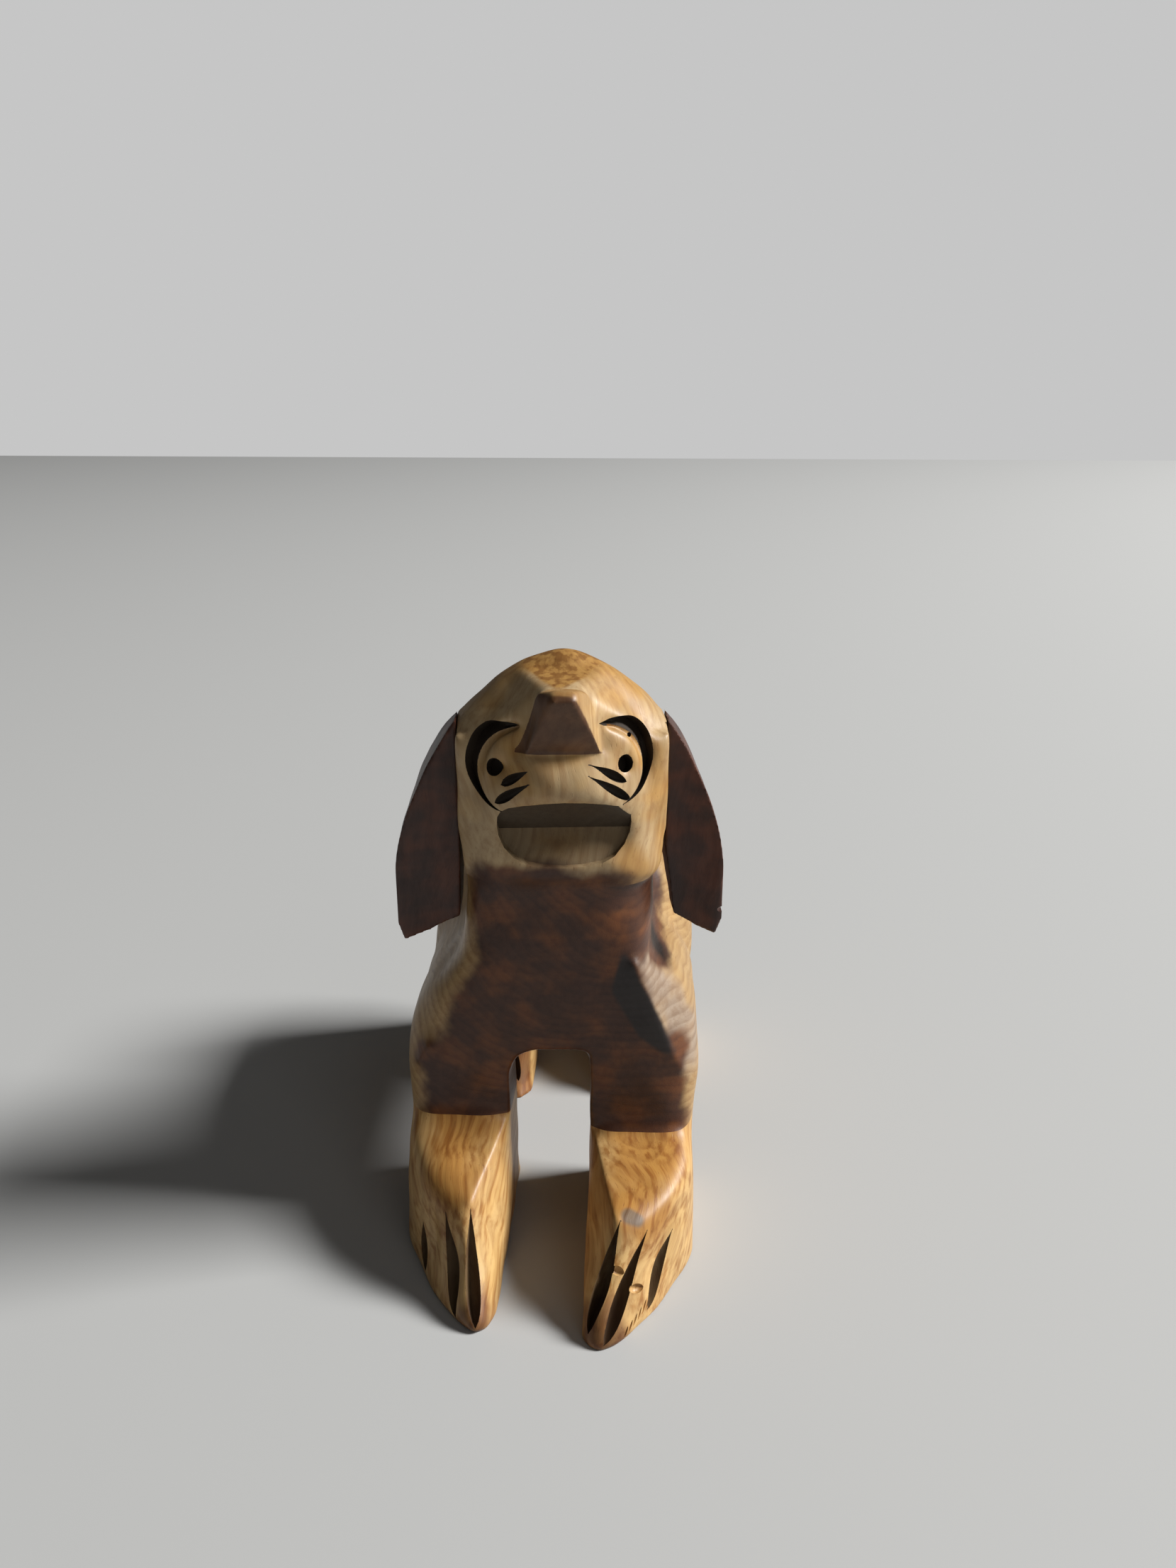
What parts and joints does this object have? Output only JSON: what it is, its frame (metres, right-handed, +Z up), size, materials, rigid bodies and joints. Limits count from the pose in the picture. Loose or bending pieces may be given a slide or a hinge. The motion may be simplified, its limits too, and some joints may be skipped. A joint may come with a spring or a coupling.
{
  "type": "dog figurine",
  "caption": "Carved wooden dog standing on four legs with its head raised, hanging ears, a wedge nose, ringed eyes, an open mouth and grooved paws. A free-standing ornament.",
  "frame": {"origin": "Middle of the footprint, on the plane that the four soles rest on.", "axes": "The dog looks along -Y, its own left side is +X and +Z is up."},
  "size_m": [0.0714, 0.1312, 0.1305],
  "materials": {
    "body_wood": "satin polish, reddish heartwood with pale sapwood flanks",
    "face_wood": "satin polish, golden tan with mottled figure",
    "nose_wood": "satin polish, dark brown",
    "ear_wood": "satin polish, dark maroon heartwood",
    "paw_wood": "satin polish, pale sapwood with brown streaks",
    "tail_wood": "satin polish, golden tan"
  },
  "bodies": {
    "root": {"body": "body_wood", "head": "face_wood", "nose": "nose_wood", "left_ear": "ear_wood", "right_ear": "ear_wood", "left_forepaw": "paw_wood", "right_forepaw": "paw_wood", "left_hind_paw": "paw_wood", "right_hind_paw": "paw_wood", "tail": "tail_wood"}
  },
  "joints": []
}
